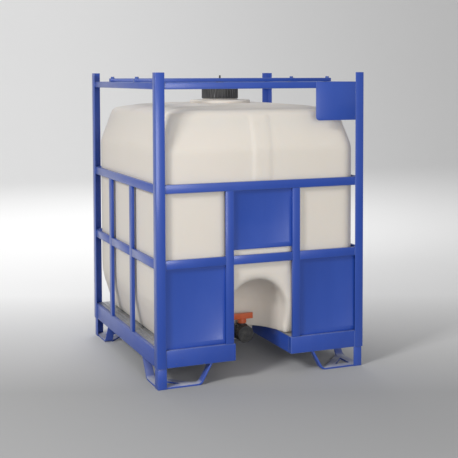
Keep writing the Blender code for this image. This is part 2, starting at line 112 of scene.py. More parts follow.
class Wire:
    """An output among a material's nodes, so that shading sums read as plain expressions."""

    def __init__(self, tree, socket=None):
        self.tree = tree
        self.socket = socket

    def node(self, kind, inputs=None, output=0, **settings):
        """A node of this kind: its settings first, then its sockets."""
        made = self.tree.nodes.new(kind)
        for name, value in settings.items():
            setattr(made, name, value)
        for name, value in (inputs or {}).items():
            if isinstance(value, Wire):
                self.tree.links.new(value.socket, made.inputs[name])
            else:
                made.inputs[name].default_value = value
        return Wire(self.tree, made.outputs[output])

    def sum(self, operation, *values):
        return self.node("ShaderNodeMath", dict(enumerate(values)), operation=operation)

    def __add__(self, other):
        return self.sum("ADD", self, other)

    def __radd__(self, other):
        return self.sum("ADD", other, self)

    def __sub__(self, other):
        return self.sum("SUBTRACT", self, other)

    def __rsub__(self, other):
        return self.sum("SUBTRACT", other, self)

    def __mul__(self, other):
        return self.sum("MULTIPLY", self, other)

    def held(self):
        """The value kept between 0 and 1."""
        return self.node("ShaderNodeMath", {0: self, 1: 0.0}, operation="ADD", use_clamp=True)

    def axis(self, letter):
        """One of the three numbers of a vector."""
        return self.node("ShaderNodeSeparateXYZ", {0: self}, output=letter)

    def noise(self, scale, detail=3.0):
        """Smooth noise at this scale over the coordinates that this wire holds."""
        inputs = {"Vector": self, "Scale": scale, "Detail": detail}
        return self.node("ShaderNodeTexNoise", inputs, output="Fac")

    def between(self, first, second):
        """A colour that goes from the first to the second as this value goes from 0 to 1."""
        return self.node("ShaderNodeMix", {0: self, 6: first, 7: second}, output=2, data_type="RGBA")


def new_finish(name, fixed):
    """A material with its fixed values set: the material, its shader and its object coordinates."""
    material = bpy.data.materials.new(name)
    material.use_nodes = True
    tree = material.node_tree
    shader = tree.nodes["Principled BSDF"]
    for socket, value in fixed.items():
        shader.inputs[socket].default_value = value
    place = Wire(tree).node("ShaderNodeTexCoord", output="Object")
    return material, shader, place


def feed(shader, **wires):
    """Link wires to the shader: base_color is its Base Color, and so on."""
    for name, wire in wires.items():
        wire.tree.links.new(wire.socket, shader.inputs[name.replace("_", " ").title()])


def blue_enamel(name, deep, pale, gloss, chips, wavy=0.0):
    """Stoved enamel on steel: clouded tone, fine orange peel and small chips, and near the ground a pale
    grey that is dust on all faces and a painted highlight on the upward faces.
    """
    material, shader, place = new_finish(name, {"Specular IOR Level": 0.55, "Coat Roughness": 0.16})
    low = (1.0 - place.axis("Z") * 4.0).held()
    cloud = place.noise(3.1, 4.0)
    streak = place.node(
        "ShaderNodeMapping", {"Vector": place, "Scale": (9.0, 9.0, 1.1)}
    ).noise(2.0, 3.0)
    tone = (cloud * 0.7 + streak * 0.6 - 0.15).held()
    colour = tone.between(deep, pale)
    # Near the ground the enamel turns pale grey: a little dust on every face, and a much stronger painted
    # highlight on the upward faces, for light glancing off their tops.
    facing = place.node("ShaderNodeNewGeometry", output="Normal")
    upward_dust_and_sheen = (facing.axis("Z") * 2.0 - 1.0).held()
    dust_and_top_sheen = (low * place.noise(16.0, 5.0) * (upward_dust_and_sheen * 1.2 + 0.05)).held()
    colour = dust_and_top_sheen.between(colour, (0.62, 0.62, 0.62, 1.0))
    chip = ((place.noise(150.0, 2.0) + low * 0.05 - chips) * 30.0).held()
    colour = chip.between(colour, (0.16, 0.15, 0.15, 1.0))
    peel = place.noise(420.0, 2.0) * 0.6 + place.noise(95.0, 3.0) * 0.4 - chip * 0.8
    wave = place.node(
        "ShaderNodeBump", {"Strength": 0.5, "Distance": wavy, "Height": place.noise(3.4, 1.0)}
    )
    normal = place.node(
        "ShaderNodeBump", {"Strength": 0.16, "Distance": 0.0006, "Height": peel, "Normal": wave}
    )
    rough = gloss + place.noise(11.0, 4.0) * 0.14 + dust_and_top_sheen * 0.5 + chip * 0.2
    coat = (0.42 - low * 0.5 - dust_and_top_sheen * 0.8 - chip * 0.4).held()
    feed(shader, base_color=colour, roughness=rough.held(), normal=normal, coat_weight=coat)
    return material


enamel = blue_enamel(
    "frame_enamel", (0.010, 0.052, 0.335, 1.0), (0.017, 0.071, 0.405, 1.0), 0.30, 0.770, 0.002
)
thin_enamel = blue_enamel(
    "frame_enamel_arris", (0.030, 0.078, 0.340, 1.0), (0.055, 0.115, 0.400, 1.0), 0.32, 0.730
)


def steel_part(node, width, rounds=2):
    """One welded steel part of the frame, with its arrises eased and its enamel on."""
    piece = whole_copy(node)
    dress(piece, enamel, thin_enamel)
    ease(piece, width, rounds, edge_slot=1)
    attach(piece, "container")
    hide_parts(node)
    return piece


corners = {"fl": (-1, -1), "fr": (1, -1), "bl": (-1, 1), "br": (1, 1)}
for corner in corners:
    steel_part("post_" + corner, 0.0014)
    steel_part("leg_" + corner, 0.0014)

# ---------------------------------------------------------------- rails and upright bars
# Rectangular steel sections: three levels of rails round the frame and two upright bars on each side,
# coped where they cross, welded and dressed flush. A tube's corners are rounder than an angle's.
for level, radius in (("top", 0.0028), ("mid", 0.0022), ("low", 0.0012)):
    for side in ("front", "back", "left", "right"):
        steel_part(level + "_rail_" + side, radius, 3 if radius > 0.002 else 2)
for side in ("front", "back", "left", "right"):
    for number in ("_1", "_2"):
        steel_part("bar_" + side + number, 0.0010)

# ---------------------------------------------------------------- base rails and runners
# Deep channel-like base rails carry the load. Two runners go through to the back on either side of the
# recess that the outlet valve sits in.
for name in ("base_rail_front_1", "base_rail_front_2", "base_rail_back", "base_rail_left",
             "base_rail_right", "base_runner_1", "base_runner_2"):
    steel_part(name, 0.0026, 3)

# ---------------------------------------------------------------- strap feet
# Flat bar bent down from the base rails, along the ground, round the corner and up again, with a tie
# welded across. The bends are rounded over a former, and the upper faces are painted pale: a little dust,
# and a painted highlight where light glances off their tops.
strap_bend = (0.324, 0.380)
strap_thick, strap_least = 0.008, 0.035
bend_reach, bend_round = 0.012, 0.014
same = 0.0004


def is_bend(edge):
    """True for an edge that runs across the strap where it turns up from the ground."""
    a, b = (v.co for v in edge.verts)
    for along, across in ((0, 1), (1, 0)):
        level = abs(a.z - b.z) < same and abs(a[along] - b[along]) < same
        near = abs(abs(a[along]) - strap_bend[along]) < bend_reach and a.z < strap_thick + 0.001
        if level and near and abs(a[across] - b[across]) > strap_least:
            return True
    return False


for corner in corners:
    foot = whole_copy("foot_strap_" + corner)
    dress(foot, enamel, thin_enamel)
    alone(foot)
    bpy.ops.object.mode_set(mode="EDIT")
    pick("EDGE", is_bend)
    bpy.ops.mesh.bevel(offset=bend_round, offset_type="OFFSET", segments=5)
    bpy.ops.object.mode_set(mode="OBJECT")
    ease(foot, 0.0012, edge_slot=1)
    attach(foot, "container")
    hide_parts("foot_strap_" + corner)

# ---------------------------------------------------------------- floor tray
# Folded galvanised plate on the base rails, cut out over the recess, with two pressed ribs along each
# side. Zinc shows its frosted grains, and water marks dull it.
spangle, zinc_shader, place = new_finish("galvanised_plate", {"Metallic": 0.85})
cells = place.node("ShaderNodeTexVoronoi", {"Vector": place, "Scale": 46.0}, output="Distance")
frost = (cells * 0.9 + place.noise(7.0, 5.0) * 0.7 - 0.3).held()
stain = ((place.noise(4.0, 6.0) - 0.5) * 3.0).held()
zinc_colour = frost.between((0.33, 0.34, 0.36, 1.0), (0.52, 0.53, 0.55, 1.0))
zinc_colour = stain.between(zinc_colour, (0.30, 0.29, 0.28, 1.0))
zinc_bump = place.node("ShaderNodeBump", {"Strength": 0.2, "Distance": 0.0005, "Height": frost})
feed(zinc_shader, base_color=zinc_colour, roughness=0.34 + frost * 0.2 + stain * 0.2, normal=zinc_bump)

tray = whole_copy("floor_tray")
dress(tray, spangle)
ease(tray, 0.0006)
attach(tray, "container")
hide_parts("floor_tray")
tray_low, tray_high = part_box("floor_tray")
rib_radius, rib_short, rib_sunk = 0.0042, 0.050, 0.0006
for side in (-1, 1):
    for number, inward in ((1, 0.022), (2, 0.044)):
        bpy.ops.mesh.primitive_cylinder_add(
            vertices=16, radius=rib_radius, depth=tray_high.y - tray_low.y - rib_short,
            location=(side * (tray_high.x - inward), 0.0, tray_high.z - rib_sunk),
            rotation=(math.pi / 2, 0.0, 0.0),
        )
        rib = bpy.context.object
        rib.name = "tray_rib_{}_{}".format("left" if side < 0 else "right", number)
        rib.scale = (1.4, 0.8, 1.0)
        bpy.ops.object.transform_apply(location=True, rotation=True, scale=True)
        dress(rib, spangle)
        ease(rib, 0.0022, 3, angle=50.0)
        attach(rib, "container")

# ---------------------------------------------------------------- infill sheets and marking plate
# Thin steel sheets welded behind the bars: each has a pressed border round a slightly sunk field, and is
# a little wavy from the welding. The marking plate hangs from the top rail, bare, for a contents card.
sheet_enamel = blue_enamel(
    "sheet_enamel", (0.013, 0.057, 0.345, 1.0), (0.021, 0.077, 0.415, 1.0), 0.27, 0.790, 0.010
)
rail_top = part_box("base_rail_front_1")[1].z
border, border_slope, border_sunk = 0.021, 0.004, 0.0018
for name in ("infill_sheet_upper", "infill_sheet_lower_1", "infill_sheet_lower_2"):
    sheet = whole_copy(name)
    dress(sheet, sheet_enamel, thin_enamel)
    alone(sheet)
    bpy.ops.object.mode_set(mode="EDIT")
    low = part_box(name)[0].z
    if "lower" in name:
        pick("VERT", lambda point: point.co.z < low + 0.001)
        bpy.ops.transform.translate(value=(0.0, 0.0, rail_top + 0.0006 - low))
    pick("FACE", lambda face: abs(face.normal.y) > 0.9)
    bpy.ops.mesh.inset(thickness=border, use_individual=True)
    bpy.ops.mesh.inset(thickness=border_slope, use_individual=True)
    bpy.ops.transform.translate(value=(0.0, border_sunk, 0.0))
    bpy.ops.object.mode_set(mode="OBJECT")
    ease(sheet, 0.0005, angle=60.0)
    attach(sheet, "container")
    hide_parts(name)
plate = whole_copy("marking_plate")
dress(plate, sheet_enamel, thin_enamel)
ease(plate, 0.0009, edge_slot=1)
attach(plate, "container")
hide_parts("marking_plate")

# ---------------------------------------------------------------- tie bars and their bolts
# Two bars lie across the side rails to hold the tank down, each fixed with a hexagon bolt and a washer at
# both ends, painted over with the frame, so that the tank can be lifted out.
bolt_inset = 0.016
washer_thick, head_thick, head_sunk = 0.0018, 0.0068, 0.0002
for number in ("1", "2"):
    steel_part("tie_bar_" + number, 0.0022, 3)
    low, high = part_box("tie_bar_" + number)
    y = (low.y + high.y) / 2
    for end, x in (("left", low.x + bolt_inset), ("right", high.x - bolt_inset)):
        bpy.ops.mesh.primitive_cylinder_add(
            vertices=24, radius=0.0115, depth=washer_thick, location=(x, y, high.z + washer_thick / 2)
        )
        washer = bpy.context.object
        bpy.ops.object.mode_set(mode="EDIT")
        pick("FACE", lambda face: face.normal.z > 0.9)
        bpy.ops.mesh.inset(thickness=0.0035)
        bpy.ops.transform.translate(value=(0.0, 0.0, -0.0004))
        bpy.ops.object.mode_set(mode="OBJECT")
        bpy.ops.mesh.primitive_cylinder_add(
            vertices=6, radius=0.0095, depth=head_thick, rotation=(0.0, 0.0, 0.2),
            location=(x, y, high.z + washer_thick - head_sunk + head_thick / 2),
        )
        head = bpy.context.object
        bpy.ops.object.mode_set(mode="EDIT")
        pick("FACE", lambda face: face.normal.z > 0.9)
        bpy.ops.mesh.inset(thickness=0.0012)
        bpy.ops.transform.translate(value=(0.0, 0.0, 0.0006))
        bpy.ops.object.mode_set(mode="OBJECT")
        washer.select_set(True)
        bpy.ops.object.join()
        head.name = "tie_bolt_" + end + "_" + number
        bpy.ops.object.transform_apply(location=True, rotation=True, scale=True)
        dress(head, thin_enamel)
        ease(head, 0.0004)
        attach(head, "container")

# ---------------------------------------------------------------- welds
# Fillet runs join the rails to the edges of the post flanges, and tack spots hold the marking plate. Each
# run is a row of overlapping ripples under the same enamel.


def weld_run(start, end, size):
    """A row of flattened ripples from start to end."""
    start, end = Vector(start), Vector(end)
    step = size * 0.75
    bpy.ops.mesh.primitive_uv_sphere_add(segments=8, ring_count=6, radius=size)
    run = bpy.context.object
    run.scale = (1.0, 1.0, 0.62)
    bpy.ops.object.transform_apply(scale=True)
    count = max(1, round((end - start).length / step))
    add_modifier(
        run, "ARRAY", count=count, use_relative_offset=False, use_constant_offset=True,
        constant_offset_displace=(0.0, 0.0, (end - start).length / count),
    )
    run.rotation_mode = "QUATERNION"
    run.rotation_quaternion = (end - start).to_track_quat("Z", "Y")
    run.location = start
    bpy.ops.object.transform_apply(location=True, rotation=True)
    return run


post_low, post_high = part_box("post_br")
flange = post_high.x - post_low.x
flange_back, fillet, clear_end = 0.0042, 0.0022, 0.004
for corner, (sx, sy) in corners.items():
    runs = []
    for level in ("top_rail_front", "mid_rail_front", "low_rail_front", "base_rail_front_1"):
        rail_low, rail_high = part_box(level)
        z_low, z_high = rail_low.z + clear_end, rail_high.z - clear_end
        x_face, y_face = sx * (post_high.x - flange_back), sy * (post_high.y - flange_back)
        x_edge, y_edge = sx * (post_high.x - flange), sy * (post_high.y - flange)
        if not (corner == "fr" and level.startswith("top")):
            runs.append(weld_run((x_edge, y_face, z_low), (x_edge, y_face, z_high), fillet))
        runs.append(weld_run((x_face, y_edge, z_low), (x_face, y_edge, z_high), fillet))
    bpy.ops.object.select_all(action="DESELECT")
    for run in runs:
        run.select_set(True)
    bpy.context.view_layer.objects.active = runs[0]
    bpy.ops.object.join()
    runs[0].name = "welds_" + corner
    dress(runs[0], thin_enamel)
    bpy.ops.object.shade_smooth()
    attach(runs[0], "container")
plate_low, plate_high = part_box("marking_plate")
for number, (x, z) in enumerate(
    ((plate_high.x - 0.001, plate_high.z - 0.042), (plate_low.x + 0.004, plate_high.z - 0.034),
     (plate_high.x - 0.004, plate_low.z + 0.012)), 1,
):
    spot = weld_run((x, plate_low.y - 0.0002, z), (x, plate_low.y - 0.0002, z + 0.006), 0.0026)
    spot.name = "plate_tack_" + str(number)
    dress(spot, thin_enamel)
    bpy.ops.object.shade_smooth()
    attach(spot, "container")

# ---------------------------------------------------------------- tank
# One rotational moulding in natural polyethylene: drawn in at the foot and shoulders, with rounded
# corners, channels behind the front and side bars, a niche for the valve, a sump under it and a raised
# disc on top. The wall is milky, a little uneven in tone, and has the fine orange peel of the mould.
polyethylene, pe_shader, place = new_finish("natural_polyethylene", {
    "Subsurface Weight": 0.34, "Subsurface Radius": (1.0, 0.82, 0.62), "Subsurface Scale": 0.028,
    "Specular IOR Level": 0.42,
})
cloud = place.noise(1.7, 3.0)
patch = place.noise(5.2, 4.0)
flow = place.node("ShaderNodeMapping", {"Vector": place, "Scale": (3.0, 3.0, 0.5)}).noise(2.2, 3.0)
pe_colour = (cloud * 1.5 - 0.25).held().between((0.700, 0.650, 0.572, 1.0), (0.740, 0.680, 0.618, 1.0))
pe_colour = (patch * 0.5 + flow * 0.5 - 0.15).held().between(pe_colour, (0.730, 0.685, 0.618, 1.0))
foot_dust = (1.0 - place.axis("Z") * 3.2).held()
pe_colour = (foot_dust * 0.5 * patch).held().between(pe_colour, (0.50, 0.47, 0.42, 1.0))
skin = place.noise(260.0, 3.0) * 0.5 + place.noise(34.0, 3.0) * 0.5 + patch * 1.5
feed(
    pe_shader, base_color=pe_colour, roughness=(0.34 + patch * 0.18 + foot_dust * 0.2).held(),
    normal=place.node("ShaderNodeBump", {"Strength": 0.22, "Distance": 0.0012, "Height": skin}),
)

half_x, half_y, disc_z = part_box("tank")[1]
floor_z = tray_high.z + 0.0008
foot_inset, corner_cut = 0.060, 0.066
bpy.ops.mesh.primitive_plane_add(size=2.0, location=(0.0, 0.0, floor_z))
tank = bpy.context.object
tank.name = "tank_moulding"
tank.scale = (half_x - foot_inset, half_y - foot_inset, 1.0)
bpy.ops.object.transform_apply(location=True, scale=True)
bpy.ops.object.mode_set(mode="EDIT")
bpy.ops.mesh.select_all(action="SELECT")
bpy.ops.mesh.bevel(offset=corner_cut, segments=8, affect="VERTICES")
bpy.ops.mesh.select_all(action="SELECT")
inset, level = foot_inset, floor_z
outline = (
    (0.215, 0.047), (0.260, 0.033), (0.300, 0.023), (0.340, 0.012), (0.390, 0.003), (0.440, 0.001),
    (disc_z - 0.236, 0.001), (disc_z - 0.214, 0.005), (disc_z - 0.066, 0.050), (disc_z - 0.052, 0.060),
    (disc_z - 0.042, 0.082), (disc_z - 0.026, 0.180), (disc_z - 0.016, 0.300),
)
for height, new_inset in outline:
    bpy.ops.mesh.extrude_region_move(TRANSFORM_OT_translate={"value": (0.0, 0.0, height - level)})
    shrink = ((half_x - new_inset) / (half_x - inset), (half_y - new_inset) / (half_y - inset), 1.0)
    bpy.ops.transform.resize(value=shrink, center_override=(0.0, 0.0, height))
    inset, level = new_inset, height
bpy.ops.mesh.select_all(action="SELECT")
bpy.ops.mesh.normals_make_consistent(inside=False)
bpy.ops.object.mode_set(mode="OBJECT")


def rounded_block(low, high, radius, rounds=4):
    """A block between two corners with its edges rounded."""
    low, high = Vector(low), Vector(high)
    bpy.ops.mesh.primitive_cube_add(size=1.0, location=(low + high) / 2)
    block = bpy.context.object
    block.scale = high - low
    bpy.ops.object.transform_apply(location=True, scale=True)
    add_modifier(block, "BEVEL", width=radius, segments=rounds)
    return block


def cut(piece, tool, how="DIFFERENCE"):
    """Cut the tool from the piece, or join it on, and use it up."""
    add_modifier(piece, "BOOLEAN", object=tool, operation=how, solver="EXACT")
    bpy.data.objects.remove(tool, do_unlink=True)


niche_x, niche_half, niche_deep = -0.015, 0.165, 0.287
niche_foot, niche_bend, niche_top = 0.080, 0.300, 0.478
bpy.ops.mesh.primitive_uv_sphere_add(segments=64, ring_count=32, radius=1.0)
niche = bpy.context.object
square = 2.05
for point in niche.data.vertices:
    spread = sum(abs(c) ** square for c in point.co) ** (-1.0 / square)
    point.co = point.co * spread
bpy.ops.object.mode_set(mode="EDIT")
bpy.ops.mesh.select_all(action="SELECT")
bpy.ops.mesh.bisect(plane_co=(0.0, 0.0, 0.0), plane_no=(0.0, 0.0, 1.0), clear_inner=True, use_fill=True)
pick("FACE", lambda face: face.normal.z < -0.9 and face.calc_center_median().z < 0.01)
deep = (niche_bend - niche_foot) / (niche_top - niche_bend)
bpy.ops.mesh.extrude_region_move(TRANSFORM_OT_translate={"value": (0.0, 0.0, -deep)})
bpy.ops.object.mode_set(mode="OBJECT")
niche.scale = (niche_half, niche_deep, niche_top - niche_bend)
niche.location = (niche_x, -half_y, niche_bend)
bpy.ops.object.transform_apply(location=True, scale=True)
cut(tank, niche)

channel_deep, channel_half, channel_long, channel_z = 0.012, 0.030, 0.68, 0.60
channel_radius = (channel_half ** 2 + channel_deep ** 2) / (2 * channel_deep)
offset = channel_radius - channel_deep
for bar, axis, sign in (
    ("bar_front_1", "y", -1), ("bar_front_2", "y", -1), ("bar_left_1", "x", -1),
    ("bar_left_2", "x", -1), ("bar_right_1", "x", 1), ("bar_right_2", "x", 1),
):
    low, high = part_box(bar)
    if axis == "y":
        middle = ((low.x + high.x) / 2, sign * (half_y + offset))
    else:
        middle = (sign * (half_x + offset), (low.y + high.y) / 2)
    bpy.ops.mesh.primitive_cylinder_add(
        vertices=48, radius=channel_radius, depth=channel_long, location=(*middle, channel_z)
    )
    cut(tank, bpy.context.object)

sump_half, sump_front, sump_back, sump_foot = 0.097, -0.262, 0.100, 0.112
sump = rounded_block(
    (niche_x - sump_half, sump_front, sump_foot), (niche_x + sump_half, sump_back, floor_z + 0.02), 0.028, 6
)
alone(tank)
sump.select_set(True)
bpy.ops.object.join()
add_modifier(tank, "REMESH", mode="VOXEL", voxel_size=0.0100)
alone(tank)
bpy.ops.object.mode_set(mode="EDIT")
band_left, band_right, band_foot, band_proud = -0.039, 0.048, 0.97, 0.0035
pick("VERT", lambda point: band_left < point.co.x < band_right and point.co.y < -0.4
     and band_foot < point.co.z < disc_z - 0.058)
bpy.ops.transform.translate(value=(0.0, -band_proud, 0.0))
bpy.ops.object.mode_set(mode="OBJECT")
add_modifier(tank, "SMOOTH", factor=0.5, iterations=4)
alone(tank)
bpy.ops.object.mode_set(mode="EDIT")
rim_deep, rim_out, rim_in = 0.055, 0.030, 0.045
pick("VERT", lambda point: (
    point.co.y < -half_y + rim_deep and abs(point.co.x - niche_x) < niche_half + rim_out
    and point.co.z < niche_top + rim_out
    and ((point.co.x - niche_x) / (niche_half - rim_in)) ** 2
    + (max(0.0, point.co.z - niche_bend) / (niche_top - niche_bend - rim_in)) ** 2 > 1.0
))
bpy.ops.mesh.vertices_smooth(factor=0.5, repeat=26)
bpy.ops.object.mode_set(mode="OBJECT")
disc_radius, disc_thick = 0.161, 0.050
bpy.ops.mesh.primitive_cylinder_add(
    vertices=128, radius=disc_radius, depth=disc_thick, location=(0.0, 0.0, disc_z - disc_thick / 2)
)
disc = bpy.context.object
bpy.ops.object.transform_apply(location=True)
add_modifier(disc, "BEVEL", width=0.006, segments=4, limit_method="ANGLE")
cut(tank, disc, "UNION")

bore, hollow_in, hollow_foot, hollow_round = 0.0785, 0.045, 0.520, 0.060
hollow_x, hollow_y = half_x - hollow_in, half_y - hollow_in
inside = rounded_block(
    (-hollow_x, -hollow_y, hollow_foot), (hollow_x, hollow_y, disc_z - 0.060), hollow_round, 6
)
bpy.ops.mesh.primitive_cylinder_add(
    vertices=72, radius=bore, depth=0.20, location=(0.0, 0.0, disc_z - 0.060)
)
cut(inside, bpy.context.object, "UNION")
cut(tank, inside)
dress(tank, polyethylene)
alone(tank)
bpy.ops.object.shade_smooth_by_angle(angle=math.radians(38.0))
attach(tank, "container")
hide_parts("tank")

# ---------------------------------------------------------------- neck
# A ring of the same polyethylene welded on the disc round the filling hole, with a foot flange and two
# shallow grooves for the lid's thread.


def ring_up(name, sides, steps, solid=False):
    """A circle drawn up through (radius, height) steps, then closed on itself, or capped if it is solid."""
    radius, height = steps[0]
    bpy.ops.mesh.primitive_circle_add(vertices=sides, radius=radius, location=(0.0, 0.0, height))
    piece = bpy.context.object
    piece.name = name
    bpy.ops.object.transform_apply(location=True)
    bpy.ops.object.mode_set(mode="EDIT")
    bpy.ops.mesh.select_mode(type="EDGE")
    bpy.ops.mesh.select_all(action="SELECT")
    for new_radius, new_height in steps[1:]:
        rise = (0.0, 0.0, new_height - height)
        bpy.ops.mesh.extrude_edges_move(TRANSFORM_OT_translate={"value": rise})
        grow = new_radius / radius
        bpy.ops.transform.resize(value=(grow, grow, 1.0), center_override=(0.0, 0.0, new_height))
        radius, height = new_radius, new_height
    bpy.ops.mesh.select_mode(type="EDGE")
    bpy.ops.mesh.select_all(action="DESELECT")
    bpy.ops.mesh.select_non_manifold(use_wire=False, use_multi_face=False, use_non_contiguous=False,
                                     use_verts=False)
    if solid:
        bpy.ops.mesh.fill_holes(sides=0)
    else:
        bpy.ops.mesh.bridge_edge_loops()
    bpy.ops.mesh.select_all(action="SELECT")
    bpy.ops.mesh.normals_make_consistent(inside=False)
    bpy.ops.object.mode_set(mode="OBJECT")
    return piece


def grip_flutes(piece, count, keep, low, high, shallow=0.0012):
    """Press flutes into the rim between two heights: half of each pitch is drawn towards the axis."""
    rim = max(math.hypot(v.co.x, v.co.y) for v in piece.data.vertices)
    alone(piece)
    bpy.ops.object.mode_set(mode="EDIT")
    pick("VERT", lambda v: (
        math.hypot(v.co.x, v.co.y) > rim - shallow and low <= v.co.z <= high
        and (math.atan2(v.co.y, v.co.x) / (2.0 * math.pi) * count + 0.13) % 1.0 < 0.5
    ))
    bpy.ops.transform.resize(value=(keep, keep, 1.0), center_override=(0.0, 0.0, 0.0))
    bpy.ops.object.mode_set(mode="OBJECT")


neck_low, neck_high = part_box("tank_neck")
wall, thread_foot, thread_pitch = 0.0905, 1.372, 0.014
grooves = [
    (wall - sunk, thread_foot + thread_pitch * turn + rise)
    for turn in range(2)
    for sunk, rise in ((0.0, 0.0), (0.002, 0.002), (0.002, 0.007), (0.0, 0.009))
]
neck = ring_up("neck_ring", 96, (
    (bore, neck_low.z), (wall + 0.004, neck_low.z), (wall + 0.004, neck_low.z + 0.0045),
    (wall, neck_low.z + 0.0060), *grooves,
    (wall, neck_high.z - 0.001), (wall - 0.001, neck_high.z), (bore + 0.001, neck_high.z),
    (bore, neck_high.z - 0.001),
))
dress(neck, polyethylene)
ease(neck, 0.0004)
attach(neck, "container")
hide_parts("tank_neck")

# ---------------------------------------------------------------- screw lid, seal and vent
# Black moulded polyethylene lid with a ribbed skirt, a stepped crown and a hub that the vent cap screws
# into. A flat rubber ring seals it on the neck, and another like it goes in the outlet cap.
rubber, rubber_shader, place = new_finish("black_rubber", {"Specular IOR Level": 0.3})
bloom = place.noise(55.0, 5.0)
feed(
    rubber_shader,
    base_color=bloom.between((0.008, 0.008, 0.009, 1.0), (0.022, 0.021, 0.020, 1.0)),
    roughness=(0.62 + bloom * 0.25).held(),
    normal=place.node("ShaderNodeBump", {"Strength": 0.2, "Distance": 0.0003, "Height": bloom}),
)


def black_plastic(name, dark, grey, grain, gloss):
    """Moulded black plastic: a spark-eroded grain, rubbed lighter in places, with settled dust."""
    material, shader, place = new_finish(name, {"Specular IOR Level": 0.45})
    rubbed = ((place.noise(38.0, 4.0) - 0.45) * 2.6).held()
    fine = place.noise(grain, 2.0)
    colour = rubbed.between(dark, grey)
    colour = (place.noise(130.0, 5.0) * 0.22).held().between(colour, (0.12, 0.115, 0.105, 1.0))
    normal = place.node("ShaderNodeBump", {"Strength": 0.28, "Distance": 0.0004, "Height": fine})
    feed(shader, base_color=colour, roughness=(gloss + rubbed * 0.16 + fine * 0.08).held(), normal=normal)
    return material


lid_plastic = black_plastic(
    "lid_plastic", (0.026, 0.026, 0.027, 1.0), (0.056, 0.055, 0.054, 1.0), 900.0, 0.34
)
lid_low, lid_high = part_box("lid")
lid_rim = lid_high.x
crown = lid_high.z - 0.014
lid = ring_up("screw_lid", 288, (
    (wall + 0.0007, lid_low.z), (lid_rim - 0.0008, lid_low.z), (lid_rim, lid_low.z + 0.0010),
    (lid_rim, lid_low.z + 0.0050), (lid_rim, crown - 0.0065), (lid_rim - 0.0010, crown - 0.0030),
    (lid_rim - 0.0045, crown), (0.080, crown), (0.078, crown - 0.0030), (0.036, crown - 0.0030),
    (0.034, crown), (0.030, crown + 0.0010), (0.028, lid_high.z - 0.001), (0.027, lid_high.z),
    (0.0148, lid_high.z), (0.0145, lid_high.z - 0.0100), (0.006, lid_high.z - 0.0102),
    (0.006, crown - 0.0085), (wall + 0.0007, crown - 0.0080),
))
grip_flutes(lid, 36, 1.0 - 0.0028 / lid_rim, lid_low.z + 0.0040, crown - 0.0050)
dress(lid, lid_plastic)
ease(lid, 0.0004, angle=45.0)
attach(lid, "lid")
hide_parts("lid")
lid_ribs = 12
for number in range(lid_ribs):
    rib = rounded_block((0.037, -0.0014, crown - 0.0034), (0.077, 0.0014, crown - 0.0006), 0.0008, 2)
    rib.name = "lid_rib_" + str(number + 1)
    rib.rotation_euler = (0.0, 0.0, 2.0 * math.pi * number / lid_ribs)
    bpy.ops.object.transform_apply(rotation=True)
    dress(rib, lid_plastic)
    bpy.ops.object.shade_smooth_by_angle(angle=math.radians(40.0))
    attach(rib, "lid")

vent_low, vent_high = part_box("vent_cap")
vent = ring_up("vent_screw", 96, (
    (0.0136, vent_low.z), (0.0136, lid_high.z + 0.0004), (0.0200, lid_high.z + 0.0004),
    (0.0220, lid_high.z + 0.0020), (0.0220, lid_high.z + 0.0060), (0.0220, lid_high.z + 0.0130),
    (0.0215, lid_high.z + 0.0160), (0.0195, lid_high.z + 0.0190), (0.0075, lid_high.z + 0.0215),
    (0.0052, lid_high.z + 0.0240), (0.0048, vent_high.z - 0.0100), (0.0044, vent_high.z - 0.0080),
    (0.0048, vent_high.z - 0.0060), (0.0040, vent_high.z - 0.0015), (0.0028, vent_high.z),
), solid=True)
grip_flutes(vent, 24, 1.0 - 0.0012 / 0.022, lid_high.z + 0.0050, lid_high.z + 0.0140, 0.0004)
dress(vent, lid_plastic)
ease(vent, 0.0003, angle=45.0)
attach(vent, "vent")
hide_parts("vent_cap")

for name, body in (("lid_seal", "lid_carrier"), ("outlet_seal", "cap_carrier")):
    seal = whole_copy(name)
    dress(seal, rubber)
    ease(seal, 0.0007, 3)
    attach(seal, body)
    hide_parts(name)

# ---------------------------------------------------------------- outlet valve
# Two-inch butterfly valve in black glass-filled plastic: a ribbed body on the tank's spout, held by a
# notched ring nut, with a grey disc and an orange-red tee handle. The flow axis runs forward.
valve_plastic = black_plastic(
    "valve_plastic", (0.028, 0.028, 0.029, 1.0), (0.068, 0.066, 0.062, 1.0), 650.0, 0.30
)
nut_low, nut_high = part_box("valve_nut")
axis_x, axis_z = (nut_low.x + nut_high.x) / 2, (nut_low.z + nut_high.z) / 2
body_low, body_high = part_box("valve_body")
cap_low, cap_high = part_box("outlet_cap")


def face_forward(piece):
    """Lay a piece made on the vertical axis along the flow axis, its top towards the front."""
    alone(piece)
    piece.rotation_euler = (math.pi / 2, 0.0, 0.0)
    piece.location = (axis_x, 0.0, axis_z)
    bpy.ops.object.transform_apply(location=True, rotation=True)
    return piece


back, front = -body_high.y, -body_low.y
shell, thread, flow = 0.0355, 0.0325, 0.0250
collar = -cap_high.y
tube = ring_up("valve_tube", 96, (
    (flow, back), (shell, back), (shell, back + 0.0185), (shell, back + 0.0190),
    (shell - 0.0030, back + 0.0205), (shell - 0.0030, collar - 0.0070), (shell, collar - 0.0060),
    (shell, collar - 0.0022), (thread, collar - 0.0012), (thread - 0.0015, collar + 0.0040),
    (thread, collar + 0.0055), (thread, collar + 0.0085), (thread - 0.0015, collar + 0.0100),
    (thread, collar + 0.0120), (thread, collar + 0.0150), (thread - 0.0015, collar + 0.0165),
    (thread, collar + 0.0185), (thread - 0.0006, front), (flow + 0.0006, front), (flow, front - 0.001),
))
face_forward(tube)
handle_low, handle_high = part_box("valve_handle")
stem_y = (handle_low.y + handle_high.y) / 2
boss_foot, boss_radius, lip = axis_z + flow + 0.004, 0.0185, 0.0045
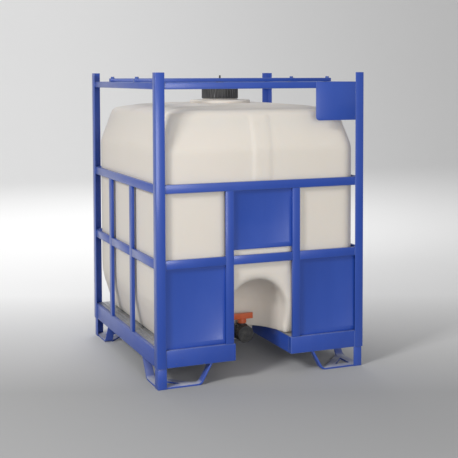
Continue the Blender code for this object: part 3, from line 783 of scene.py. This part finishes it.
bpy.ops.mesh.primitive_cylinder_add(
    vertices=64, radius=boss_radius, depth=body_high.z - boss_foot,
    location=(axis_x, stem_y, (body_high.z + boss_foot) / 2),
)
boss = bpy.context.object
bpy.ops.object.mode_set(mode="EDIT")
pick("FACE", lambda face: face.normal.z > 0.9)
bpy.ops.mesh.extrude_region_move(TRANSFORM_OT_translate={"value": (0.0, 0.0, 0.0)})
bpy.ops.transform.resize(value=(1.08, 1.08, 1.0), center_override=(axis_x, stem_y, body_high.z))
bpy.ops.transform.translate(value=(0.0, 0.0, -lip))
bpy.ops.mesh.extrude_region_move(TRANSFORM_OT_translate={"value": (0.0, 0.0, lip)})
bpy.ops.object.mode_set(mode="OBJECT")
bpy.ops.object.transform_apply(location=True)
cut(tube, boss, "UNION")
bpy.ops.mesh.primitive_cylinder_add(
    vertices=48, radius=0.0063, depth=0.070, location=(axis_x, stem_y, axis_z + 0.045)
)
cut(tube, bpy.context.object)
web_half, web_reach = 0.0020, 0.0150
for web_x in (axis_x - 0.022, axis_x + 0.022):
    web = rounded_block(
        (web_x - web_half, stem_y - web_reach, axis_z + 0.018),
        (web_x + web_half, stem_y + web_reach, axis_z + 0.040), 0.0012, 2,
    )
    cut(tube, web, "UNION")
dress(tube, valve_plastic)
ease(tube, 0.0005, angle=40.0)
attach(tube, "container")
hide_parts("valve_body")

nut_back, nut_front = -nut_high.y, -nut_low.y
nut_rim = (nut_high.x - nut_low.x) / 2
nut = ring_up("ring_nut", 192, (
    (shell + 0.0004, nut_back), (nut_rim - 0.0010, nut_back), (nut_rim, nut_back + 0.0010),
    (nut_rim, nut_front - 0.0020), (nut_rim - 0.0020, nut_front), (shell + 0.0004, nut_front),
))
grip_flutes(nut, 12, 1.0 - 0.0032 / nut_rim, nut_back, nut_front - 0.0010)
face_forward(nut)
dress(nut, valve_plastic)
ease(nut, 0.0006, angle=40.0)
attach(nut, "container")
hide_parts("valve_nut")

grey_plastic = black_plastic(
    "disc_plastic", (0.16, 0.16, 0.165, 1.0), (0.26, 0.26, 0.26, 1.0), 500.0, 0.36
)
flap = whole_copy("valve_flap")
dress(flap, grey_plastic)
ease(flap, 0.0008, 3, angle=40.0)
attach(flap, "valve_spindle")
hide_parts("valve_flap")

red_plastic, red_shader, place = new_finish("handle_plastic", {"Specular IOR Level": 0.5})
faded = place.noise(30.0, 4.0)
scuff = ((place.noise(170.0, 3.0) - 0.60) * 6.0).held()
red_colour = faded.between((0.50, 0.085, 0.026, 1.0), (0.66, 0.150, 0.052, 1.0))
red_colour = (scuff * 0.5).between(red_colour, (0.62, 0.28, 0.16, 1.0))
feed(
    red_shader, base_color=red_colour, roughness=(0.34 + faded * 0.15 + scuff * 0.2).held(),
    normal=place.node("ShaderNodeBump", {"Strength": 0.2, "Distance": 0.0004,
                                         "Height": place.noise(420.0, 2.0) + scuff * 0.5}),
)
handle = whole_copy("valve_handle")
dress(handle, red_plastic)
ease(handle, 0.0030, 4, angle=50.0)
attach(handle, "valve_spindle")
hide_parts("valve_handle")

skirt_foot = body_high.z - 0.0150
skirt = ring_up("handle_skirt", 64, (
    (0.0206, skirt_foot), (0.0222, skirt_foot), (0.0228, skirt_foot + 0.0030),
    (0.0228, handle_low.z + 0.0015), (0.0210, handle_low.z + 0.0035), (0.0206, handle_low.z + 0.0035),
))
skirt.location = (axis_x, stem_y, 0.0)
bpy.ops.object.transform_apply(location=True)
dress(skirt, red_plastic)
ease(skirt, 0.0004)
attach(skirt, "valve_spindle")

# ---------------------------------------------------------------- outlet cap
# Screw cap over the outlet thread: knurled rim, sunk face with crossed webs and a raised middle.
cap_rim = (cap_high.x - cap_low.x) / 2
mouth, face = -cap_high.y, -cap_low.y
cap = ring_up("outlet_screw_cap", 256, (
    (thread + 0.0006, mouth), (cap_rim - 0.0010, mouth), (cap_rim, mouth + 0.0012),
    (cap_rim, mouth + 0.0030), (cap_rim, face - 0.0045), (cap_rim - 0.0008, face - 0.0022),
    (cap_rim - 0.0030, face), (cap_rim - 0.0110, face), (cap_rim - 0.0125, face - 0.0030),
    (0.0100, face - 0.0030), (0.0090, face - 0.0008), (0.0001, face - 0.0008), (0.0001, front + 0.0038),
    (thread + 0.0006, front + 0.0038),
))
grip_flutes(cap, 32, 1.0 - 0.0022 / cap_rim, mouth + 0.0020, face - 0.0030)
face_forward(cap)
web_long, web_half = 0.0310, 0.0018
for turned in (0.0, math.pi / 2):
    web = rounded_block(
        (-web_long, face - 0.0034, -web_half), (web_long, face - 0.0010, web_half), 0.0008, 2
    )
    web.scale = (1.0, -1.0, 1.0)
    web.rotation_euler = (0.0, turned + 0.5, 0.0)
    web.location = (axis_x, 0.0, axis_z)
    bpy.ops.object.transform_apply(location=True, rotation=True, scale=True)
    bpy.ops.object.mode_set(mode="EDIT")
    bpy.ops.mesh.select_all(action="SELECT")
    bpy.ops.mesh.normals_make_consistent(inside=False)
    bpy.ops.object.mode_set(mode="OBJECT")
    cut(cap, web, "UNION")
dress(cap, valve_plastic)
ease(cap, 0.0004, angle=45.0)
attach(cap, "outlet_cap")
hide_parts("outlet_cap")

# ---------------------------------------------------------------- studio: sweep, lights and camera
# A sweep of paper whose colour is painted grey in front and paler behind and to the right: painted shade
# at the front, and painted light behind and on the right that lifts the object's shadow there. A soft light
# high on the left, a fill in front, a lamp for the paper behind, and a camera at head height a little to
# the left of the front.
floor_wide, floor_deep, bend, bend_steps, paper_rise = 11.0, 9.0, 3.5, 10, 6.0
bpy.ops.mesh.primitive_plane_add(size=2.0, location=(0.0, 0.0, -0.0005))
sweep = bpy.context.object
sweep.name = "studio_sweep"
sweep.scale = (floor_wide, floor_deep, 1.0)
bpy.ops.object.transform_apply(location=True, scale=True)
bpy.ops.object.mode_set(mode="EDIT")
pick("EDGE", lambda edge: all(v.co.y > floor_deep - 1.0 for v in edge.verts))
for step in range(bend_steps):
    turn = math.radians(90.0 * (step + 1) / bend_steps)
    was = math.radians(90.0 * step / bend_steps)
    rise = (0.0, bend * (math.sin(turn) - math.sin(was)), bend * (math.cos(was) - math.cos(turn)))
    bpy.ops.mesh.extrude_edges_move(TRANSFORM_OT_translate={"value": rise})
bpy.ops.mesh.extrude_edges_move(TRANSFORM_OT_translate={"value": (0.0, 0.0, paper_rise)})
bpy.ops.object.mode_set(mode="OBJECT")
bpy.ops.object.shade_smooth()
paper, paper_shader, place = new_finish("sweep_paper_painted_shading", {"Specular IOR Level": 0.1})
# Painted shade and light: the paper's colour grows paler towards the back and to the right. This stands in
# for the fall of light over the sweep and lifts the object's shadow on the right.
back = (place.axis("Y") * 0.44 + place.axis("X") * 0.18 + 0.36).held()
paper_painted_shading = back.between((0.38, 0.38, 0.38, 1.0), (0.86, 0.86, 0.86, 1.0))
feed(paper_shader, base_color=paper_painted_shading, roughness=0.8 + place.noise(5.0) * 0.1)
dress(sweep, paper)

world = bpy.data.worlds.new("studio")
world.use_nodes = True
sky = world.node_tree.nodes["Background"]
sky.inputs["Color"].default_value = (1.0, 1.0, 1.0, 1.0)
sky.inputs["Strength"].default_value = 0.44
bpy.context.scene.world = world


def soft_light(name, place, size, power, aim=(0.0, 0.0, 0.8)):
    """A square soft light, aimed at the middle of the object unless told otherwise."""
    data = bpy.data.lights.new(name, "AREA")
    data.size = size
    data.energy = power
    lamp = bpy.data.objects.new(name, data)
    lamp.location = place
    lamp.rotation_mode = "QUATERNION"
    lamp.rotation_quaternion = (Vector(aim) - Vector(place)).to_track_quat("-Z", "Y")
    bpy.context.collection.objects.link(lamp)


soft_light("key_light", (-4.4, -2.85, 3.6), 1.2, 182.0)
soft_light("fill_light", (-0.7, -5.6, 1.5), 2.2, 94.0)
soft_light("paper_light", (0.5, 4.0, 5.5), 3.5, 255.0, (0.5, 7.5, 0.5))
bpy.context.scene.view_settings.view_transform = "Standard"

lens = bpy.data.cameras.new("camera")
lens.sensor_width = 36.0
lens.lens = 80.0
lens.shift_y = -0.2131
camera = bpy.data.objects.new("camera", lens)
camera.location = (-2.0165, -5.0618, 1.4778)
camera.rotation_mode = "XYZ"
look_down, roll, turn_right = 3.12, 0.18, 22.24
camera.rotation_euler = [math.radians(angle) for angle in (90.0 - look_down, roll, -turn_right)]
bpy.context.collection.objects.link(camera)
bpy.context.scene.camera = camera
